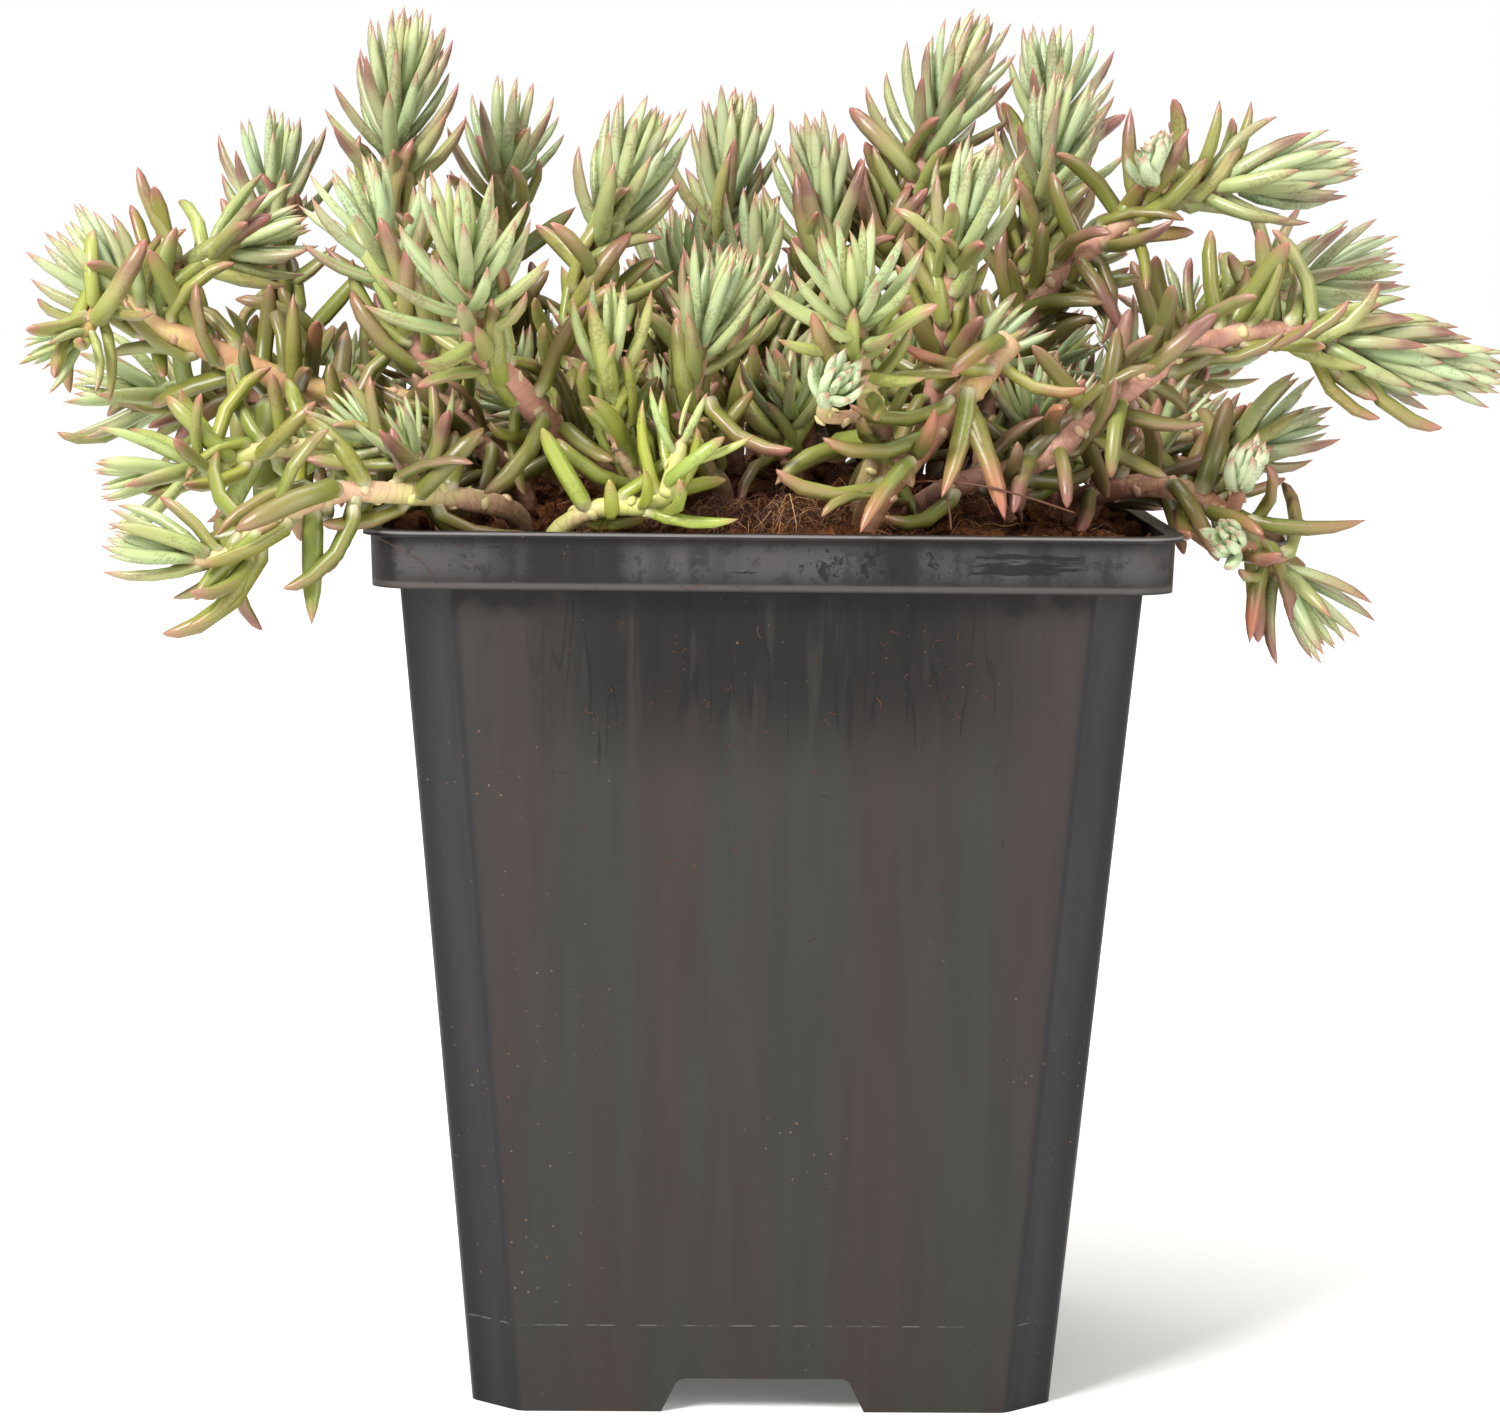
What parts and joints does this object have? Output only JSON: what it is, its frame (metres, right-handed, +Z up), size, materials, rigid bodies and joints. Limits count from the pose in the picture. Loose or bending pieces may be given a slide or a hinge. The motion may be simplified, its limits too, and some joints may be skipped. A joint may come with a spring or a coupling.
{
  "type": "potted sedum",
  "caption": "Square tapered nursery pot filled with soil, with a bushy clump of trailing and upright succulent shoots whose pointed leaves gather in dense heads.",
  "frame": {"origin": "middle of the pot's foot, on the surface that it stands on", "axes": "+Z up, -Y towards the side that the picture shows, +X to the right of that side"},
  "size_m": [0.1689, 0.1107, 0.159],
  "materials": {
    "pot_plastic": "dark grey moulded plastic with a dull sheen, faint vertical streaks and dried water marks",
    "soil": "matt brown fibrous coir and peat",
    "succulent": "waxy pale green leaves with red-brown tips, on pink and tan stems"
  },
  "bodies": {
    "root": {"pot": "pot_plastic", "shoot_back_arm_1": "succulent", "shoot_back_arm_2": "succulent", "shoot_back_arm_3": "succulent", "shoot_back_arm_4": "succulent", "shoot_back_arm_5": "succulent", "shoot_back_arm_6": "succulent", "shoot_back_arm_7": "succulent", "shoot_back_right": "succulent", "shoot_behind_left": "succulent", "shoot_broken": "succulent", "shoot_bud_head": "succulent", "shoot_far_left": "succulent", "shoot_front_left": "succulent", "shoot_gap_left": "succulent", "shoot_gap_mid": "succulent", "shoot_gap_right": "succulent", "shoot_inner_1": "succulent", "shoot_inner_10": "succulent", "shoot_inner_11": "succulent", "shoot_inner_12": "succulent", "shoot_inner_13": "succulent", "shoot_inner_14": "succulent", "shoot_inner_15": "succulent", "shoot_inner_16": "succulent", "shoot_inner_17": "succulent", "shoot_inner_2": "succulent", "shoot_inner_3": "succulent", "shoot_inner_4": "succulent", "shoot_inner_5": "succulent", "shoot_inner_6": "succulent", "shoot_inner_7": "succulent", "shoot_inner_8": "succulent", "shoot_inner_9": "succulent", "shoot_left_front": "succulent", "shoot_left_inner": "succulent", "shoot_left_leafy": "succulent", "shoot_left_low": "succulent", "shoot_left_yellow": "succulent", "shoot_mid": "succulent", "shoot_mid_back": "succulent", "shoot_mid_left": "succulent", "shoot_right_back": "succulent", "shoot_right_inner": "succulent", "shoot_right_low": "succulent", "shoot_right_mid": "succulent", "shoot_right_rim": "succulent", "shoot_right_top": "succulent", "shoot_rim_lime": "succulent", "shoot_rosette": "succulent", "shoot_small_left": "succulent", "shoot_small_mid": "succulent", "shoot_tall_left": "succulent", "shoot_top_right": "succulent", "shoot_upper_left": "succulent", "soil": "soil"}
  },
  "joints": []
}
